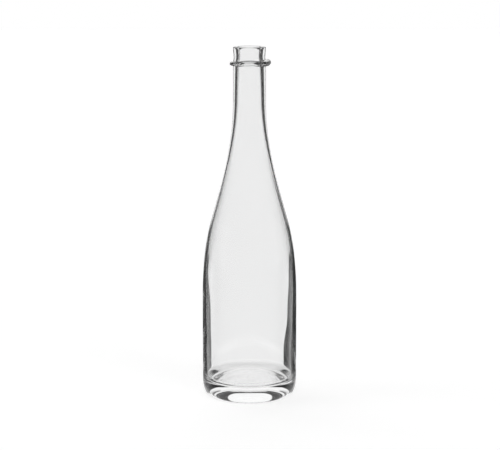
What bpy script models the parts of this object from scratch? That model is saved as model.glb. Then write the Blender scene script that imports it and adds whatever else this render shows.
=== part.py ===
"""A clear glass wine carafe: one blown vessel, and a glass trail laid round its neck.

Metres, +Z up. The origin is the middle of the foot, on the surface that the carafe stands on.
The trail's lapped ends face +X.
"""

import math

import bpy

# Heights, from the foot upwards
STRAIGHT_HEIGHT = 0.069
LOWER_SHOULDER_HEIGHT = 0.098
UPPER_SHOULDER_HEIGHT = 0.1075
NECK_HEIGHT = 0.0505

# Outer radii, and the shoulder's two shape ratios
BODY_RADIUS = 0.044
NECK_RADIUS = 0.01515
WAIST_RADIUS = 0.0144
LIP_RADIUS = 0.0151
SHOULDER_FULLNESS = 0.68
SHOULDER_STEEPNESS = 2.02

# Glass thickness, thick at the mouth and foot and thin over the shoulder, and where up
# the lower and the upper shoulder curve the body's and the shoulder's thickness is reached
MOUTH_WALL = 0.0047
NECK_WALL = 0.0033
SHOULDER_WALL = 0.0017
BODY_WALL = 0.0022
LOWER_WALL = 0.0042
BODY_WALL_SHARE = 0.5
SHOULDER_WALL_SHARE = 0.33
SLOPE_STEP = 0.0005

# The base: inside floor with its dome, round corners, and the hollow under the foot.
# Flatness widens the top of a dome or hollow, and flare softens its edge.
FLOOR_THICKNESS = 0.0135
FLOOR_RISE = 0.0065
FLOOR_FLATNESS = 2.4
FLOOR_FLARE = 1.5
INSIDE_CORNER = 0.0060
HEEL_HEIGHT = 0.0132
HEEL_WIDTH = 0.0039
PUNT_RADIUS = 0.0360
PUNT_DEPTH = 0.0060
PUNT_FLATNESS = 3.0
PUNT_FLARE = 1.9
RIM_ROUND = 0.0012

# The trail round the neck, and the lap where its two ends cross
TRAIL_BELOW_RIM = 0.0153
TRAIL_HEIGHT = 0.0040
TRAIL_DEPTH = 0.0031
LAP_HEIGHT = 0.0068
LAP_DEPTH = 0.0047
LAP_RISE = 0.0002
LAP_LEAN = 0.0015
LAP_HALF_ANGLE = math.radians(52)
WAIST_REACH = 0.0060
TRAIL_CLEARANCE = 0.0003

# Facets
SEGMENTS = 48
SHOULDER_STEPS = 8
NECK_STEPS = 2
WAIST_STEPS = 5
CORNER_STEPS = 5
ROUND_STEPS = 2
DOME_STEPS = 7
TRAIL_STEPS = 8
TRAIL_BACK_STEPS = 3
MERGE_DISTANCE = 0.00001

SHOULDER_START = STRAIGHT_HEIGHT
SHOULDER_TURN = SHOULDER_START + LOWER_SHOULDER_HEIGHT
SHOULDER_END = SHOULDER_TURN + UPPER_SHOULDER_HEIGHT
HEIGHT = SHOULDER_END + NECK_HEIGHT
TRAIL_MIDDLE = HEIGHT - TRAIL_BELOW_RIM
INSIDE_FOOT = FLOOR_THICKNESS + INSIDE_CORNER

GLASS_COLOUR = (0.95, 0.97, 0.97, 1.0)
GLASS_ROUGHNESS = 0.02
GLASS_INDEX = 1.51


def clear_scene():
    for thing in list(bpy.data.objects):
        bpy.data.objects.remove(thing, do_unlink=True)


def make_glass(name):
    material = bpy.data.materials.new(name)
    material.use_nodes = True
    shader = material.node_tree.nodes["Principled BSDF"]
    shader.inputs["Base Color"].default_value = GLASS_COLOUR
    shader.inputs["Roughness"].default_value = GLASS_ROUGHNESS
    shader.inputs["Metallic"].default_value = 0.0
    shader.inputs["IOR"].default_value = GLASS_INDEX
    shader.inputs["Transmission Weight"].default_value = 1.0
    return material


def ease(start, end, share):
    """A level start and finish between two values."""
    share = min(max(share, 0.0), 1.0)
    return start + (end - start) * share * share * (3 - 2 * share)


def cubic(start, end, start_slope, end_slope, length, share):
    """A curve between two radii that leaves and arrives at the given slopes."""
    square = share * share
    cube = square * share
    return (
        start * (2 * cube - 3 * square + 1)
        + end * (3 * square - 2 * cube)
        + start_slope * length * (cube - 2 * square + share)
        + end_slope * length * (cube - square)
    )


def outer_radius(height):
    """The outside of the glass above the heel: cylinder, two shoulder curves, neck, waist and lip."""
    shoulder_height = LOWER_SHOULDER_HEIGHT + UPPER_SHOULDER_HEIGHT
    turn_radius = NECK_RADIUS + (BODY_RADIUS - NECK_RADIUS) * SHOULDER_FULLNESS
    turn_slope = -(BODY_RADIUS - NECK_RADIUS) / shoulder_height * SHOULDER_STEEPNESS
    if height <= SHOULDER_START:
        return BODY_RADIUS
    if height <= SHOULDER_TURN:
        share = (height - SHOULDER_START) / LOWER_SHOULDER_HEIGHT
        return cubic(BODY_RADIUS, turn_radius, 0.0, turn_slope, LOWER_SHOULDER_HEIGHT, share)
    if height <= SHOULDER_END:
        share = (height - SHOULDER_TURN) / UPPER_SHOULDER_HEIGHT
        return cubic(turn_radius, NECK_RADIUS, turn_slope, 0.0, UPPER_SHOULDER_HEIGHT, share)
    waist = TRAIL_MIDDLE + WAIST_REACH
    if height <= waist:
        return ease(NECK_RADIUS, WAIST_RADIUS, (height - TRAIL_MIDDLE) / WAIST_REACH)
    return ease(WAIST_RADIUS, LIP_RADIUS, (height - waist) / (HEIGHT - waist - RIM_ROUND))


def wall(height):
    """Glass thickness, eased between the heights where it is named."""
    stations = (
        (INSIDE_FOOT, LOWER_WALL),
        (SHOULDER_START + LOWER_SHOULDER_HEIGHT * BODY_WALL_SHARE, BODY_WALL),
        (SHOULDER_TURN + UPPER_SHOULDER_HEIGHT * SHOULDER_WALL_SHARE, SHOULDER_WALL),
        (SHOULDER_END, NECK_WALL),
        (HEIGHT, MOUTH_WALL),
    )
    for (low, low_wall), (high, high_wall) in zip(stations, stations[1:]):
        if height <= high:
            return ease(low_wall, high_wall, (height - low) / (high - low))
    return MOUTH_WALL


def inner_radius(height):
    """The wall is measured square to the surface, so a sloping wall is wider across."""
    rise = outer_radius(height + SLOPE_STEP) - outer_radius(height - SLOPE_STEP)
    slope = rise / (2 * SLOPE_STEP)
    return outer_radius(height) - wall(height) * math.hypot(1.0, slope)


def spread(low, high, steps):
    """Heights from low to high, both ends included."""
    return [low + (high - low) * i / steps for i in range(steps + 1)]


def corner(centre, width, height, start, end, steps):
    """Points of a round or oval corner, from one angle to another, in degrees."""
    points = []
    for angle in spread(math.radians(start), math.radians(end), steps):
        points.append((centre[0] + width * math.cos(angle), centre[1] + height * math.sin(angle)))
    return points


def dome(rise, share, flatness, flare):
    """Height of a round dome, from its middle at share 0 to its edge at share 1."""
    return rise * (1 - share**flatness) ** flare


def wall_heights():
    """Where the walls get a ring of points: dense on the curves, none on the straight cylinder."""
    heights = spread(SHOULDER_START, SHOULDER_TURN, SHOULDER_STEPS)
    heights += spread(SHOULDER_TURN, SHOULDER_END, SHOULDER_STEPS)[1:]
    heights += spread(SHOULDER_END, TRAIL_MIDDLE, NECK_STEPS)[1:]
    heights += spread(TRAIL_MIDDLE, HEIGHT - RIM_ROUND, WAIST_STEPS)[1:]
    return heights


def floor_points():
    """The inside floor, domed up from its edge, and the round corner to the wall."""
    edge = inner_radius(INSIDE_FOOT) - INSIDE_CORNER
    points = []
    for radius in spread(0.0, edge, DOME_STEPS)[:-1]:
        rise = dome(FLOOR_RISE, radius / edge, FLOOR_FLATNESS, FLOOR_FLARE)
        points.append((radius, FLOOR_THICKNESS + rise))
    return points + corner((edge, INSIDE_FOOT), INSIDE_CORNER, INSIDE_CORNER, -90, 0, CORNER_STEPS)


def rim_points():
    """The fire-polished rim, from the bore over to the lip."""
    top = HEIGHT - RIM_ROUND
    inner = (inner_radius(top) + RIM_ROUND, top)
    outer = (outer_radius(top) - RIM_ROUND, top)
    points = corner(inner, RIM_ROUND, RIM_ROUND, 180, 90, ROUND_STEPS)[1:]
    return points + corner(outer, RIM_ROUND, RIM_ROUND, 90, 0, ROUND_STEPS)[:-1]


def foot_points():
    """The tall oval heel, the flat foot ring, and the hollow under the base in to the axis."""
    heel = (BODY_RADIUS - HEEL_WIDTH, HEEL_HEIGHT)
    points = corner(heel, HEEL_WIDTH, HEEL_HEIGHT, 0, -90, CORNER_STEPS)
    for radius in spread(PUNT_RADIUS, 0.0, DOME_STEPS):
        points.append((radius, dome(PUNT_DEPTH, radius / PUNT_RADIUS, PUNT_FLATNESS, PUNT_FLARE)))
    return points


def vessel_outline():
    """Half a section of the vessel: floor, inside, rim, outside, heel and punt, axis to axis."""
    heights = wall_heights()
    outline = floor_points()
    outline += [(inner_radius(height), height) for height in heights]
    outline += rim_points()
    outline += [(outer_radius(height), height) for height in reversed(heights)]
    return outline + foot_points()


def make_vessel():
    """Turns the half section round the axis."""
    points = [(radius, 0.0, height) for radius, height in vessel_outline()]
    edges = [(i, i + 1) for i in range(len(points) - 1)]
    mesh = bpy.data.meshes.new("carafe_body")
    mesh.from_pydata(points, edges, [])
    vessel = bpy.data.objects.new("carafe_body", mesh)
    bpy.context.scene.collection.objects.link(vessel)
    turn = vessel.modifiers.new("turn", "SCREW")
    turn.axis = "Z"
    turn.angle = math.tau
    turn.steps = SEGMENTS
    turn.render_steps = SEGMENTS
    turn.use_merge_vertices = True
    turn.merge_threshold = MERGE_DISTANCE
    turn.use_smooth_shade = True
    mesh.materials.append(make_glass("vessel_glass"))
    return vessel


def trail_section(angle):
    """One section of the trail as radius and height: flat against the neck, round outside."""
    turn = math.remainder(angle, math.tau)
    lap = ease(1.0, 0.0, abs(turn) / LAP_HALF_ANGLE)
    half_height = (TRAIL_HEIGHT + (LAP_HEIGHT - TRAIL_HEIGHT) * lap) / 2
    depth = TRAIL_DEPTH + (LAP_DEPTH - TRAIL_DEPTH) * lap
    middle = TRAIL_MIDDLE + LAP_RISE * lap
    section = []
    for tilt in spread(-math.pi / 2, math.pi / 2, TRAIL_STEPS):
        out = math.cos(tilt)
        height = middle + half_height * math.sin(tilt) + LAP_LEAN * lap * out
        neck = outer_radius(height) + TRAIL_CLEARANCE
        section.append((neck + depth * out, height))
    low, high = section[0][1], section[-1][1]
    for height in spread(high, low, TRAIL_BACK_STEPS)[1:-1]:
        section.append((outer_radius(height) + TRAIL_CLEARANCE, height))
    return section


def make_trail():
    """Sweeps the section once round the neck."""
    points = []
    for i in range(SEGMENTS):
        angle = math.tau * i / SEGMENTS
        for radius, height in trail_section(angle):
            points.append((radius * math.cos(angle), radius * math.sin(angle), height))
    count = len(points) // SEGMENTS
    faces = []
    for i in range(SEGMENTS):
        here = i * count
        ahead = (i + 1) % SEGMENTS * count
        for j in range(count):
            after = (j + 1) % count
            faces.append((here + j, ahead + j, ahead + after, here + after))
    mesh = bpy.data.meshes.new("neck_ring")
    mesh.from_pydata(points, [], faces)
    mesh.shade_smooth()
    mesh.materials.append(make_glass("ring_glass"))
    ring = bpy.data.objects.new("neck_ring", mesh)
    bpy.context.scene.collection.objects.link(ring)
    return ring


def main():
    clear_scene()
    make_vessel()
    make_trail()


main()
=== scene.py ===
"""The looks of the wine carafe: fine meshes of its blown glass, and the studio round it.

Metres, +Z up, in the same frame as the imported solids. Directions in the studio are degrees:
azimuth 0 is straight behind the carafe as the camera sees it, and elevation is above the floor.
"""

import math

import bpy
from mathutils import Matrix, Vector


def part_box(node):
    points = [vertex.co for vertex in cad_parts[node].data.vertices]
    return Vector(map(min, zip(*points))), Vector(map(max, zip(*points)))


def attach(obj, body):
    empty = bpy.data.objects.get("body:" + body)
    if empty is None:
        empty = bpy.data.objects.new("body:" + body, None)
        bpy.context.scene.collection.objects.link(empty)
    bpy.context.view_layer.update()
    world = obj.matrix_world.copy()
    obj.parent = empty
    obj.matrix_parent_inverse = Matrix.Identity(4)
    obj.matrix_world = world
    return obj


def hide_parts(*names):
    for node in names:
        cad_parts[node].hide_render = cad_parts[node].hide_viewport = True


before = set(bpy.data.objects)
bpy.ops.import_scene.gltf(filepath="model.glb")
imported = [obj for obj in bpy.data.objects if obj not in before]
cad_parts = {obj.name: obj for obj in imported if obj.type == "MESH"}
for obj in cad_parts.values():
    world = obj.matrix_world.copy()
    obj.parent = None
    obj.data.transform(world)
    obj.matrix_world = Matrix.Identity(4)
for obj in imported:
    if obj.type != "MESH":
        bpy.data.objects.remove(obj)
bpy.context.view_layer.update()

# Overall size, taken from the highest corner of the vessel's solid
VESSEL_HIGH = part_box("carafe_body")[1]
HEIGHT = VESSEL_HIGH.z
BODY_RADIUS = VESSEL_HIGH.x

# Heights, from the foot upwards
STRAIGHT_HEIGHT = 0.069
LOWER_SHOULDER_HEIGHT = 0.098
UPPER_SHOULDER_HEIGHT = 0.1075

# Outer radii, the rounding of the rim, and the shoulder's two shape ratios. The waist is the
# narrowest place of the neck, WAIST_REACH above the middle of the trail.
NECK_RADIUS = 0.01515
WAIST_RADIUS = 0.0144
WAIST_REACH = 0.0060
LIP_RADIUS = 0.0151
RIM_ROUND = 0.0008
SHOULDER_FULLNESS = 0.695
SHOULDER_STEEPNESS = 2.02

# Glass thickness at five heights. The shares say how far up the lower and the upper shoulder
# the glass has come down to BODY_WALL and to SHOULDER_WALL.
MOUTH_WALL = 0.0048
NECK_WALL = 0.0034
SHOULDER_WALL = 0.0019
BODY_WALL = 0.0019
LOWER_WALL = 0.0042
BODY_WALL_SHARE = 0.8
SHOULDER_WALL_SHARE = 0.2

# The base: the inner floor with its dome, the round corners inside and out, and the hollow
# under it, whose edge is the inner edge of the foot ring
FLOOR_THICKNESS = 0.0135
FLOOR_RISE = 0.0065
FLOOR_FLATNESS = 2.4
FLOOR_FLARE = 1.5
INSIDE_CORNER = 0.0060
HEEL_HEIGHT = 0.0132
HEEL_WIDTH = 0.0045
PUNT_RADIUS = 0.0360
PUNT_DEPTH = 0.0060
PUNT_FLATNESS = 3.0
PUNT_FLARE = 1.9

# How far the inside is off centre at the foot, and the height where it is centred again
BORE_SHIFT = -0.0002
BORE_SHIFT_TOP = 0.100

# Slow waves of the inside, as blown glass has them. A wave of the wall is its share, its waves
# round the wall, its run up it in radians a metre, and where it starts. A wave of the floor is
# its share, its runs across and along the floor, and where it starts.
WALL_WAVE = 0.00007
WALL_WAVES = ((1.0, 2, 31.0, 0.6), (0.7, 3, -87.0, 2.1), (0.4, 5, 163.0, 4.0))
FLOOR_WAVE = 0.00004
FLOOR_WAVES = ((1.0, 150.0, 60.0, 0.9), (0.6, -90.0, 210.0, 2.3))

# The trail round the neck, and the lap where its two ends cross. It has melted into the neck by
# TRAIL_SUNK, and at the front and back it is thinner by TRAIL_SWAY.
TRAIL_BELOW_RIM = 0.0153
TRAIL_HEIGHT = 0.0040
TRAIL_DEPTH = 0.0031
LAP_HEIGHT = 0.0068
LAP_DEPTH = 0.0047
LAP_RISE = 0.0002
LAP_LEAN = 0.0015
LAP_HALF_ANGLE = math.radians(52)
TRAIL_SUNK = 0.0004
TRAIL_FULLNESS = 0.7
TRAIL_SWAY = 0.0010

# Mesh detail
SLOPE_STEP = 0.0005
SEGMENTS = 192
WALL_STEP = 0.0015
FLOOR_STEPS = 24
CORNER_STEPS = 20
ROUND_STEPS = 8
TRAIL_STEPS = 28

# Glass: its two tints and the drift between them, the ripple of its skin, and how often light
# may bounce or pass a surface
GLASS_INDEX = 1.51
GLASS_COOL = (0.984, 0.986, 0.987, 1.0)
GLASS_CLEAR = (0.992, 0.992, 0.992, 1.0)
DRIFT_SCALE = 22.0
DRIFT_DETAIL = 2.0
RIPPLE_SCALE = 90.0
RIPPLE_DETAIL = 1.0
RIPPLE_STRENGTH = 0.008
RIPPLE_DISTANCE = 0.0002
LIGHT_BOUNCES = 32

# Camera, at the height and distance that give the photo's view
CAMERA_PLACE = (0.0, -1.4, 0.42)
CAMERA_AIM = (0.0005, 0.0, 0.1599)
CAMERA_LENS = 110.3
CAMERA_SENSOR = 36.0

# Studio, in degrees: a dark room with one bright window behind the carafe, in three parts that
# are narrower lower down, a wide band across it higher up and fainter windows at the sides.
# Widths are measured from the window's middle, lifts are elevations, and each pair of numbers
# is where an edge starts and ends. WINDOW_LIFT is the bottom and the top of all of them.
HALF_TURN = 180.0
WHITE = (1.0, 1.0, 1.0, 1.0)
ROOM_LEVEL = 0.045
WINDOW_CENTRE = -1.0
HIGH_WINDOW = (24.5, 27.5)
HIGH_LIFT = (-6.0, -4.0)
MIDDLE_WINDOW = (13.5, 14.5)
MIDDLE_LIFT = (-12.5, -11.0)
LOW_WINDOW = (9.8, 10.4)
SIDE_WINDOW = (46.0, 50.0, 62.0, 80.0)
SIDE_LIFT = (-20.0, -17.0, -9.0, -7.0)
SIDE_LEVEL = 0.7
NECK_WINDOW = (68.0, 72.0, 110.0, 125.0)
NECK_LIFT = (-5.0, -3.0, 12.0, 20.0)
NECK_LEVEL = 0.2
WIDE_WINDOW = (55.0, 65.0)
WIDE_LIFT = (6.0, 12.0, 15.0, 24.0)
WINDOW_LIFT = (-38.0, -32.0, 45.0, 65.0)

# Windows on the other sides, for the views from there: middle and half width. Light that has
# been reflected once or more doesn't see them, so they put no highlight on the glass.
REAR_WINDOWS = ((-45.0, 12.0), (-90.0, 16.0), (135.0, 16.0), (180.0, 12.0))
REAR_SOFT = 3.0
UNDER_ONE_REFLECTION = 0.5

# Floor: its glow and the light that it takes add up to white for the camera. The glass sees a
# bright patch of it round the foot, which fades out between two distances from the middle.
FLOOR_HALF = 6.0
FLOOR_GAP = 0.0002
FLOOR_GLOW = 0.75
FLOOR_COLOUR = (0.6, 0.6, 0.6, 1.0)
BRIGHT_FLOOR = (0.05, 0.10)
BRIGHT_LEVEL = 0.88

# Heights that follow from the sizes above
SHOULDER_START = STRAIGHT_HEIGHT
SHOULDER_TURN = SHOULDER_START + LOWER_SHOULDER_HEIGHT
SHOULDER_END = SHOULDER_TURN + UPPER_SHOULDER_HEIGHT
TRAIL_MIDDLE = HEIGHT - TRAIL_BELOW_RIM
INSIDE_FOOT = FLOOR_THICKNESS + INSIDE_CORNER


def ease(start, end, share):
    """A level start and finish between two values."""
    share = min(max(share, 0.0), 1.0)
    return start + (end - start) * share * share * (3 - 2 * share)


def cubic(start, end, start_slope, end_slope, length, share):
    """A curve between two values that leaves and arrives at the given slopes."""
    square = share * share
    cube = square * share
    return (
        start * (2 * cube - 3 * square + 1)
        + end * (3 * square - 2 * cube)
        + start_slope * length * (cube - 2 * square + share)
        + end_slope * length * (cube - square)
    )


def outer_radius(height):
    """The outside above the heel: cylinder, two shoulder curves, neck, waist and lip."""
    shoulder_height = LOWER_SHOULDER_HEIGHT + UPPER_SHOULDER_HEIGHT
    turn_radius = NECK_RADIUS + (BODY_RADIUS - NECK_RADIUS) * SHOULDER_FULLNESS
    turn_slope = -(BODY_RADIUS - NECK_RADIUS) / shoulder_height * SHOULDER_STEEPNESS
    if height <= SHOULDER_START:
        return BODY_RADIUS
    if height <= SHOULDER_TURN:
        share = (height - SHOULDER_START) / LOWER_SHOULDER_HEIGHT
        return cubic(BODY_RADIUS, turn_radius, 0.0, turn_slope, LOWER_SHOULDER_HEIGHT, share)
    if height <= SHOULDER_END:
        share = (height - SHOULDER_TURN) / UPPER_SHOULDER_HEIGHT
        return cubic(turn_radius, NECK_RADIUS, turn_slope, 0.0, UPPER_SHOULDER_HEIGHT, share)
    waist = TRAIL_MIDDLE + WAIST_REACH
    if height <= waist:
        return ease(NECK_RADIUS, WAIST_RADIUS, (height - TRAIL_MIDDLE) / WAIST_REACH)
    return ease(WAIST_RADIUS, LIP_RADIUS, (height - waist) / (HEIGHT - waist - RIM_ROUND))


def wall(height):
    """Glass thickness, thinnest at the shoulder and growing steadily up the neck."""
    thin = SHOULDER_TURN + UPPER_SHOULDER_HEIGHT * SHOULDER_WALL_SHARE
    growth = (MOUTH_WALL - SHOULDER_WALL) / (HEIGHT - thin)
    stations = (
        (INSIDE_FOOT, LOWER_WALL, 0.0),
        (SHOULDER_START + LOWER_SHOULDER_HEIGHT * BODY_WALL_SHARE, BODY_WALL, 0.0),
        (thin, SHOULDER_WALL, 0.0),
        (SHOULDER_END, NECK_WALL, growth),
        (HEIGHT, MOUTH_WALL, growth),
    )
    for (low, low_wall, low_slope), (high, high_wall, high_slope) in zip(stations, stations[1:]):
        if height <= high:
            share = max((height - low) / (high - low), 0.0)
            return cubic(low_wall, high_wall, low_slope, high_slope, high - low, share)
    return MOUTH_WALL


def inner_radius(height):
    """The wall is measured square to the surface, so a sloping wall is wider across."""
    rise = outer_radius(height + SLOPE_STEP) - outer_radius(height - SLOPE_STEP)
    slope = rise / (2 * SLOPE_STEP)
    return outer_radius(height) - wall(height) * math.hypot(1.0, slope)


def spread(low, high, steps):
    """Values from low to high, both ends included."""
    return [low + (high - low) * i / steps for i in range(steps + 1)]


def corner(centre, width, height, start, end, steps):
    """Points of a round or oval corner, from one angle to another, in degrees."""
    points = []
    for angle in spread(math.radians(start), math.radians(end), steps):
        points.append((centre[0] + width * math.cos(angle), centre[1] + height * math.sin(angle)))
    return points


def dome(rise, share, flatness, flare):
    """Height of a round dome. Flatness widens its top, and flare softens its edge."""
    return rise * (1 - share**flatness) ** flare


def inside_points():
    """The inside from the middle of the domed floor up to the rim."""
    edge = inner_radius(INSIDE_FOOT) - INSIDE_CORNER
    points = []
    for radius in spread(0.0, edge, FLOOR_STEPS)[:-1]:
        rise = dome(FLOOR_RISE, radius / edge, FLOOR_FLATNESS, FLOOR_FLARE)
        points.append((radius, FLOOR_THICKNESS + rise))
    points += corner((edge, INSIDE_FOOT), INSIDE_CORNER, INSIDE_CORNER, -90, 0, CORNER_STEPS)[:-1]
    top = HEIGHT - RIM_ROUND
    for height in spread(INSIDE_FOOT, top, round((top - INSIDE_FOOT) / WALL_STEP)):
        points.append((inner_radius(height), height))
    return points


def outside_points():
    """The rim, the outside down to the heel, the foot ring and the hollow under the base."""
    top = HEIGHT - RIM_ROUND
    bore = inner_radius(top)
    lip = outer_radius(top)
    points = corner((bore + RIM_ROUND, top), RIM_ROUND, RIM_ROUND, 180, 90, ROUND_STEPS)[1:]
    points += corner((lip - RIM_ROUND, top), RIM_ROUND, RIM_ROUND, 90, 0, ROUND_STEPS)[:-1]
    for height in spread(top, HEEL_HEIGHT, round((top - HEEL_HEIGHT) / WALL_STEP)):
        points.append((outer_radius(height), height))
    heel = BODY_RADIUS - HEEL_WIDTH
    points += corner((heel, HEEL_HEIGHT), HEEL_WIDTH, HEEL_HEIGHT, 0, -90, CORNER_STEPS)[1:]
    for radius in spread(heel, PUNT_RADIUS, ROUND_STEPS)[1:-1]:
        points.append((radius, 0.0))
    for radius in spread(PUNT_RADIUS, 0.0, FLOOR_STEPS):
        rise = dome(PUNT_DEPTH, radius / PUNT_RADIUS, PUNT_FLATNESS, PUNT_FLARE)
        points.append((radius, rise))
    return points


def bore_shift(height):
    """How far the inside is off centre: its wall is thicker on the right, near the foot."""
    return ease(BORE_SHIFT, 0.0, (height - INSIDE_FOOT) / (BORE_SHIFT_TOP - INSIDE_FOOT))


def wall_wave(angle, height):
    """How far the inside of the wall wanders, fading out over the lower shoulder."""
    fade = ease(1.0, 0.0, (height - SHOULDER_START) / LOWER_SHOULDER_HEIGHT)
    waves = [size * math.sin(turns * angle + rise * height + start)
             for size, turns, rise, start in WALL_WAVES]
    return WALL_WAVE * fade * sum(waves)


def floor_wave(x, y):
    """How far the inner floor wanders up and down."""
    waves = [size * math.sin(across * x + along * y + start)
             for size, across, along, start in FLOOR_WAVES]
    return FLOOR_WAVE * sum(waves)


def skin(name, rings, closed, caps):
    """A mesh through rings of points. Caps are the two end points on the axis, if it has them."""
    count = len(rings[0])
    points = [point for ring in rings for point in ring]
    faces = []
    for i in range(len(rings)):
        here = i * count
        ahead = (i + 1) % len(rings) * count
        for j in range(count if closed else count - 1):
            after = (j + 1) % count
            faces.append((here + j, here + after, ahead + after, ahead + j))
        if caps:
            faces.append((len(points), here, ahead))
            faces.append((len(points) + 1, ahead + count - 1, here + count - 1))
    mesh = bpy.data.meshes.new(name)
    mesh.from_pydata(points + list(caps), [], faces)
    mesh.shade_smooth()
    piece = bpy.data.objects.new(name, mesh)
    bpy.context.scene.collection.objects.link(piece)
    return piece


def make_vessel():
    """The vessel as one skin of glass: inside, rim, outside and the hollow under the base.

    The floor's waves give way to the wall's round the inside corner.
    """
    inside = inside_points()
    outside = outside_points()
    rings = []
    for i in range(SEGMENTS):
        angle = math.tau * i / SEGMENTS
        across, along = math.cos(angle), math.sin(angle)
        ring = []
        for step, (radius, height) in enumerate(inside[1:]):
            on_wall = ease(0.0, 1.0, (step - FLOOR_STEPS) / CORNER_STEPS)
            radius += on_wall * wall_wave(angle, height)
            lift = (1 - on_wall) * floor_wave(radius * across, radius * along)
            ring.append((radius * across + bore_shift(height), radius * along, height + lift))
        for radius, height in outside[:-1]:
            ring.append((radius * across, radius * along, height))
        rings.append(ring)
    floor_middle = (BORE_SHIFT, 0.0, inside[0][1] + floor_wave(0.0, 0.0))
    punt_middle = (0.0, 0.0, outside[-1][1])
    vessel = skin("vessel_glass_body", rings, False, (floor_middle, punt_middle))
    vessel.data.materials.append(blown_glass("vessel_glass"))
    return vessel


def trail_section(angle):
    """One section of the trail as radius and height: sunk in the neck, round outside."""
    turn = math.remainder(angle, math.tau)
    lap = ease(1.0, 0.0, abs(turn) / LAP_HALF_ANGLE)
    half_height = (TRAIL_HEIGHT + (LAP_HEIGHT - TRAIL_HEIGHT) * lap) / 2
    depth = TRAIL_SUNK + TRAIL_DEPTH + (LAP_DEPTH - TRAIL_DEPTH) * lap
    depth -= TRAIL_SWAY * math.sin(angle) ** 2 * (1 - lap)
    middle = TRAIL_MIDDLE + LAP_RISE * lap
    section = []
    for tilt in spread(math.pi / 2, -math.pi / 2, TRAIL_STEPS):
        out = max(math.cos(tilt), 0.0) ** TRAIL_FULLNESS
        height = middle + half_height * math.sin(tilt) + LAP_LEAN * lap * out
        section.append((outer_radius(height) - TRAIL_SUNK + depth * out, height))
    high, low = section[0][1], section[-1][1]
    for height in spread(low, high, ROUND_STEPS)[1:-1]:
        section.append((outer_radius(height) - TRAIL_SUNK, height))
    return section


def make_trail():
    """Sweeps the section once round the neck."""
    rings = []
    for i in range(SEGMENTS):
        angle = math.tau * i / SEGMENTS
        ring = []
        for radius, height in trail_section(angle):
            ring.append((radius * math.cos(angle), radius * math.sin(angle), height))
        rings.append(ring)
    trail = skin("neck_ring_trail", rings, True, ())
    trail.data.materials.append(blown_glass("ring_glass"))
    return trail


class Nodes:
    """Short words for the nodes that a material or the world is built from."""

    def __init__(self, owner):
        owner.use_nodes = True
        self.tree = owner.node_tree
        self.tree.nodes.clear()

    def add(self, kind):
        return self.tree.nodes.new(kind)

    def link(self, source, target):
        self.tree.links.new(source, target)

    def math(self, operation, *values):
        node = self.add("ShaderNodeMath")
        node.operation = operation
        for socket, value in zip(node.inputs, values):
            if isinstance(value, (int, float)):
                socket.default_value = value
            else:
                self.link(value, socket)
        return node.outputs[0]

    def step(self, value, low, high):
        """0 below low, 1 above high, eased between."""
        node = self.add("ShaderNodeMapRange")
        node.interpolation_type = "SMOOTHSTEP"
        self.link(value, node.inputs["Value"])
        node.inputs["From Min"].default_value = low
        node.inputs["From Max"].default_value = high
        return node.outputs[0]

    def below(self, value, low, high):
        """1 below low, 0 above high, eased between."""
        return self.math("SUBTRACT", 1.0, self.step(value, low, high))

    def between(self, value, low, full, fade, high):
        """0 below low and above high, 1 from full to fade."""
        return self.math("MULTIPLY", self.step(value, low, full), self.below(value, fade, high))

    def noise(self, place, scale, detail):
        node = self.add("ShaderNodeTexNoise")
        node.inputs["Scale"].default_value = scale
        node.inputs["Detail"].default_value = detail
        self.link(place, node.inputs["Vector"])
        return node.outputs["Fac"]

    def glow(self, strength):
        node = self.add("ShaderNodeEmission")
        node.inputs["Strength"].default_value = strength
        return node

    def mix(self, share, first, second):
        """The first shader where share is 0, the second where it is 1."""
        node = self.add("ShaderNodeMixShader")
        self.link(share, node.inputs[0])
        self.link(first.outputs[0], node.inputs[1])
        self.link(second.outputs[0], node.inputs[2])
        return node


def blown_glass(name):
    """Clear glass whose tint drifts a little from place to place, under a faint rippled skin."""
    material = bpy.data.materials.new(name)
    nodes = Nodes(material)
    place = nodes.add("ShaderNodeTexCoord").outputs["Object"]
    tint = nodes.add("ShaderNodeValToRGB")
    tint.color_ramp.elements[0].color = GLASS_COOL
    tint.color_ramp.elements[1].color = GLASS_CLEAR
    nodes.link(nodes.noise(place, DRIFT_SCALE, DRIFT_DETAIL), tint.inputs["Fac"])
    ripple = nodes.add("ShaderNodeBump")
    ripple.inputs["Strength"].default_value = RIPPLE_STRENGTH
    ripple.inputs["Distance"].default_value = RIPPLE_DISTANCE
    nodes.link(nodes.noise(place, RIPPLE_SCALE, RIPPLE_DETAIL), ripple.inputs["Height"])
    shader = nodes.add("ShaderNodeBsdfPrincipled")
    shader.inputs["Roughness"].default_value = 0.0
    shader.inputs["IOR"].default_value = GLASS_INDEX
    shader.inputs["Transmission Weight"].default_value = 1.0
    nodes.link(tint.outputs["Color"], shader.inputs["Base Color"])
    nodes.link(ripple.outputs["Normal"], shader.inputs["Normal"])
    output = nodes.add("ShaderNodeOutputMaterial")
    nodes.link(shader.outputs["BSDF"], output.inputs["Surface"])
    return material


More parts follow.
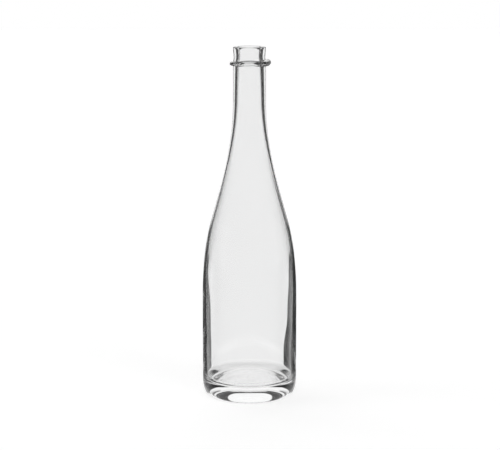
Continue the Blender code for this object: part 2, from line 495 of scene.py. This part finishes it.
def make_world():
    """A dark room whose windows are bright directions, and white where the camera looks past."""
    world = bpy.data.worlds.new("studio")
    bpy.context.scene.world = world
    nodes = Nodes(world)
    split = nodes.add("ShaderNodeSeparateXYZ")
    nodes.link(nodes.add("ShaderNodeTexCoord").outputs["Generated"], split.inputs[0])
    x, y, z = split.outputs
    azimuth = nodes.math("DEGREES", nodes.math("ARCTAN2", x, y))
    elevation = nodes.math("DEGREES", nodes.math("ARCSINE", z))
    path = nodes.add("ShaderNodeLightPath")

    def rear_window(centre, half):
        turn = nodes.math("SUBTRACT", azimuth, centre)
        turn = nodes.math("ABSOLUTE", nodes.math("WRAP", turn, HALF_TURN, -HALF_TURN))
        return nodes.below(turn, half - REAR_SOFT / 2, half + REAR_SOFT / 2)

    off = nodes.math("ABSOLUTE", nodes.math("SUBTRACT", azimuth, WINDOW_CENTRE))
    level = nodes.below(off, *LOW_WINDOW)
    for edge, lift in ((MIDDLE_WINDOW, MIDDLE_LIFT), (HIGH_WINDOW, HIGH_LIFT)):
        change = nodes.math("SUBTRACT", nodes.below(off, *edge), level)
        level = nodes.math("MULTIPLY_ADD", nodes.step(elevation, *lift), change, level)
    sides = ((SIDE_WINDOW, SIDE_LIFT, SIDE_LEVEL), (NECK_WINDOW, NECK_LIFT, NECK_LEVEL))
    for across, along, strength in sides:
        side = nodes.math("MULTIPLY", nodes.between(off, *across), nodes.between(elevation, *along))
        level = nodes.math("MAXIMUM", level, nodes.math("MULTIPLY", side, strength))
    height = nodes.between(elevation, *WIDE_LIFT)
    band = nodes.math("MULTIPLY", nodes.below(off, *WIDE_WINDOW), height)
    level = nodes.math("MAXIMUM", level, band)
    level = nodes.math("MULTIPLY", level, nodes.between(elevation, *WINDOW_LIFT))
    direct = nodes.math("LESS_THAN", path.outputs["Glossy Depth"], UNDER_ONE_REFLECTION)
    for centre, half in REAR_WINDOWS:
        rear = nodes.math("MULTIPLY", rear_window(centre, half), direct)
        level = nodes.math("MAXIMUM", level, rear)
    level = nodes.math("MULTIPLY_ADD", level, 1 - ROOM_LEVEL, ROOM_LEVEL)
    sky = nodes.add("ShaderNodeBackground")
    sky.inputs["Color"].default_value = WHITE
    nodes.link(nodes.math("MAXIMUM", level, path.outputs["Is Camera Ray"]), sky.inputs["Strength"])
    output = nodes.add("ShaderNodeOutputWorld")
    nodes.link(sky.outputs["Background"], output.inputs["Surface"])


def floor_material():
    """White with a faint shadow to the camera. The glass sees a patch of it round the foot.

    Beyond the patch the floor is clear to the glass, which sees the studio through it.
    """
    material = bpy.data.materials.new("pale_floor")
    nodes = Nodes(material)
    split = nodes.add("ShaderNodeSeparateXYZ")
    nodes.link(nodes.add("ShaderNodeTexCoord").outputs["Object"], split.inputs[0])
    x, y, z = split.outputs
    square = nodes.math("MULTIPLY_ADD", x, x, nodes.math("MULTIPLY", y, y))
    near = nodes.below(nodes.math("SQRT", square), *BRIGHT_FLOOR)
    patch = nodes.mix(near, nodes.add("ShaderNodeBsdfTransparent"), nodes.glow(BRIGHT_LEVEL))
    matt = nodes.add("ShaderNodeBsdfDiffuse")
    matt.inputs["Color"].default_value = FLOOR_COLOUR
    lit = nodes.add("ShaderNodeAddShader")
    nodes.link(matt.outputs[0], lit.inputs[0])
    nodes.link(nodes.glow(FLOOR_GLOW).outputs[0], lit.inputs[1])
    camera = nodes.add("ShaderNodeLightPath").outputs["Is Camera Ray"]
    output = nodes.add("ShaderNodeOutputMaterial")
    nodes.link(nodes.mix(camera, patch, lit).outputs[0], output.inputs["Surface"])
    return material


def make_floor():
    """A wide square just under the foot."""
    mesh = bpy.data.meshes.new("floor")
    corners = [(-1, -1), (1, -1), (1, 1), (-1, 1)]
    points = [(x * FLOOR_HALF, y * FLOOR_HALF, -FLOOR_GAP) for x, y in corners]
    mesh.from_pydata(points, [], [(0, 1, 2, 3)])
    mesh.materials.append(floor_material())
    floor = bpy.data.objects.new("floor", mesh)
    bpy.context.scene.collection.objects.link(floor)
    return floor


def make_camera():
    """The photo's own view, a little from above."""
    lens = bpy.data.cameras.new("camera")
    lens.lens = CAMERA_LENS
    lens.sensor_width = CAMERA_SENSOR
    camera = bpy.data.objects.new("camera", lens)
    camera.location = CAMERA_PLACE
    look = Vector(CAMERA_AIM) - camera.location
    camera.rotation_euler = look.to_track_quat("-Z", "Y").to_euler()
    bpy.context.scene.collection.objects.link(camera)
    bpy.context.scene.camera = camera


def set_rendering():
    """Enough bounces for light to cross every wall of the glass."""
    scene = bpy.context.scene
    scene.view_settings.view_transform = "Standard"
    scene.cycles.max_bounces = LIGHT_BOUNCES
    scene.cycles.transmission_bounces = LIGHT_BOUNCES
    scene.cycles.glossy_bounces = LIGHT_BOUNCES
    scene.cycles.use_denoising = True


vessel = make_vessel()
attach(vessel, "root")
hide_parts("carafe_body")

trail = make_trail()
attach(trail, "root")
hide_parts("neck_ring")

make_floor()
make_world()
make_camera()
set_rendering()
